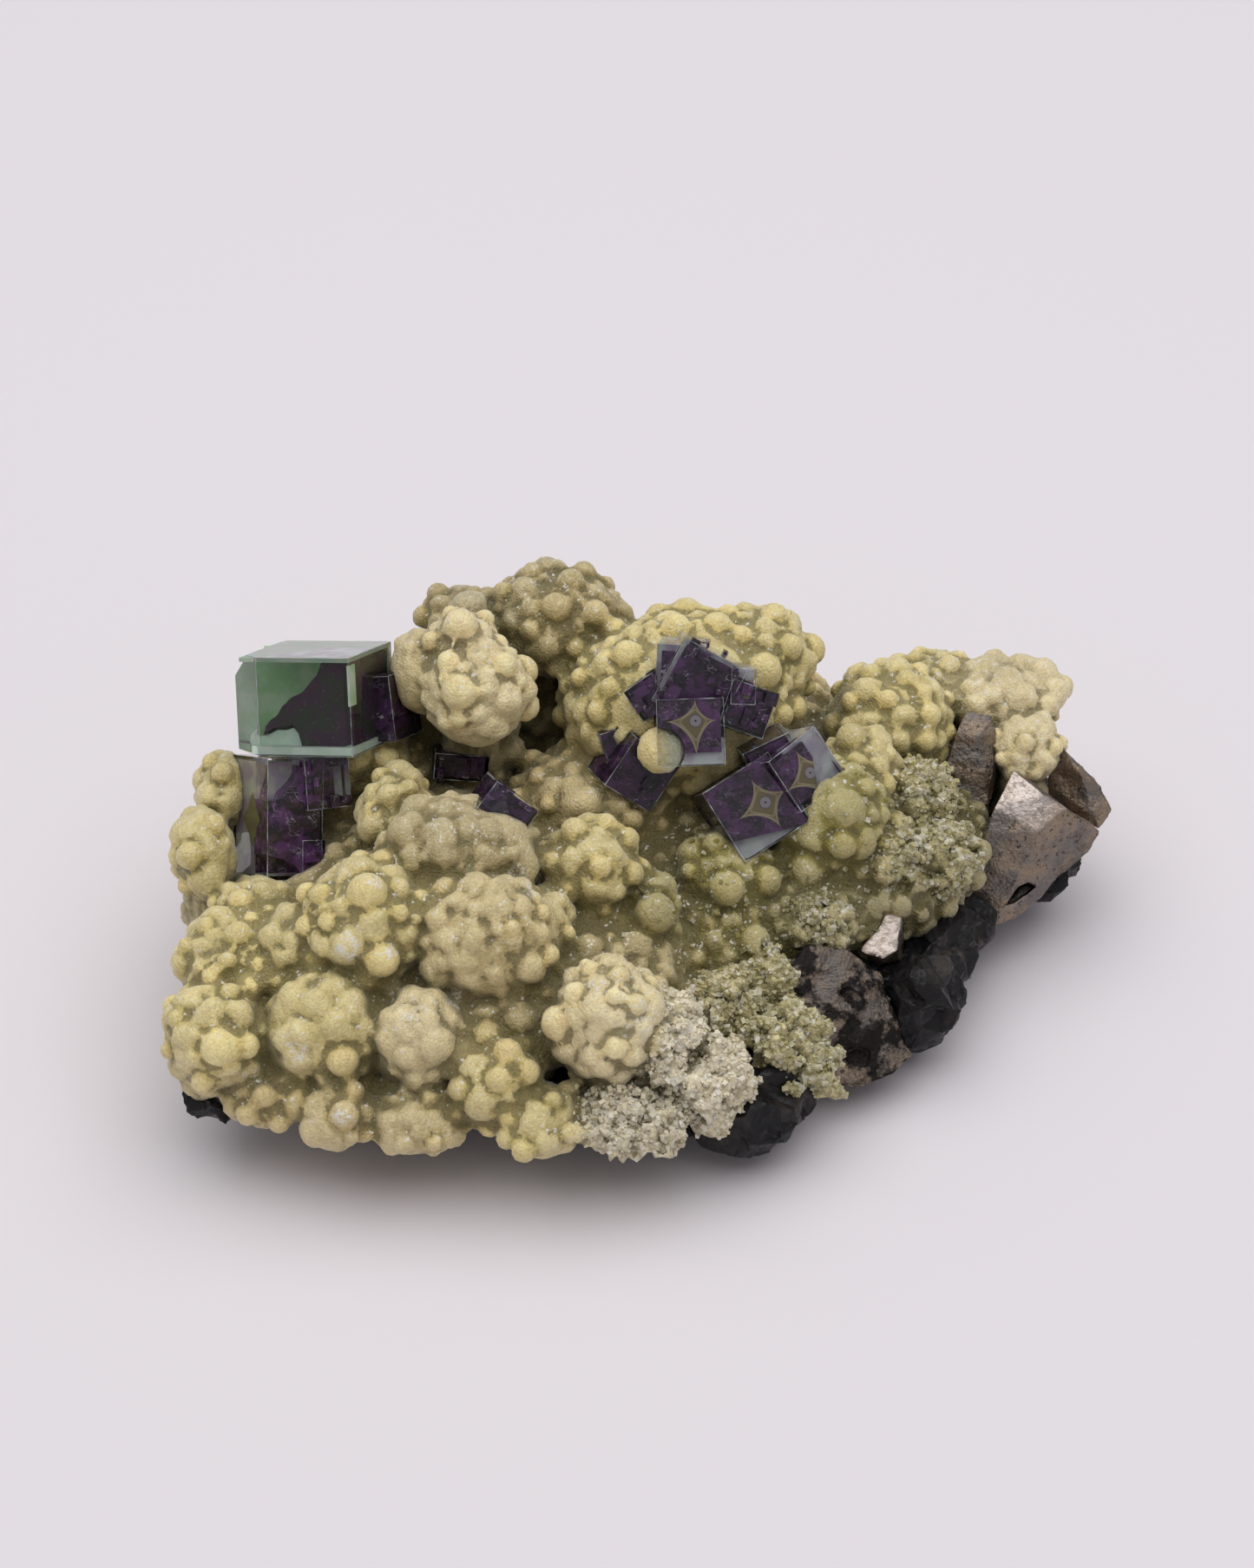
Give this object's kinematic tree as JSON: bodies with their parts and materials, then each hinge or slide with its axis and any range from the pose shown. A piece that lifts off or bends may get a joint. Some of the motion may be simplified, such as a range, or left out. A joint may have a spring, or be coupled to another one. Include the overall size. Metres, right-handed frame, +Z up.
{
  "type": "mineral specimen",
  "caption": "Hand specimen of purple and green fluorite cubes on a crust of botryoidal dolomite, with metallic blocks along one edge of its dark rock.",
  "frame": {"origin": "the middle of the flat face under the rock that the specimen rests on", "axes": "+X to the right along the specimen's longest extent, +Y away from the side that the picture shows, +Z up"},
  "size_m": [0.101, 0.0765, 0.0401],
  "materials": {
    "dolomite": "satin",
    "sphalerite": "satin",
    "arsenopyrite": "metallic",
    "green_fluorite": "polished",
    "purple_fluorite": "polished"
  },
  "bodies": {
    "root": {"dolomite_crust": "dolomite", "sphalerite_rock": "sphalerite", "arsenopyrite_wedge": "arsenopyrite", "arsenopyrite_prism": "arsenopyrite", "arsenopyrite_end": "arsenopyrite", "arsenopyrite_blade": "arsenopyrite", "arsenopyrite_block": "arsenopyrite", "green_fluorite": "green_fluorite", "stepped_fluorite": "purple_fluorite", "star_fluorite": "purple_fluorite", "dark_fluorite": "purple_fluorite", "corner_fluorite": "purple_fluorite", "fluorite_chip": "purple_fluorite", "fluorite_splinter": "purple_fluorite"}
  },
  "joints": []
}
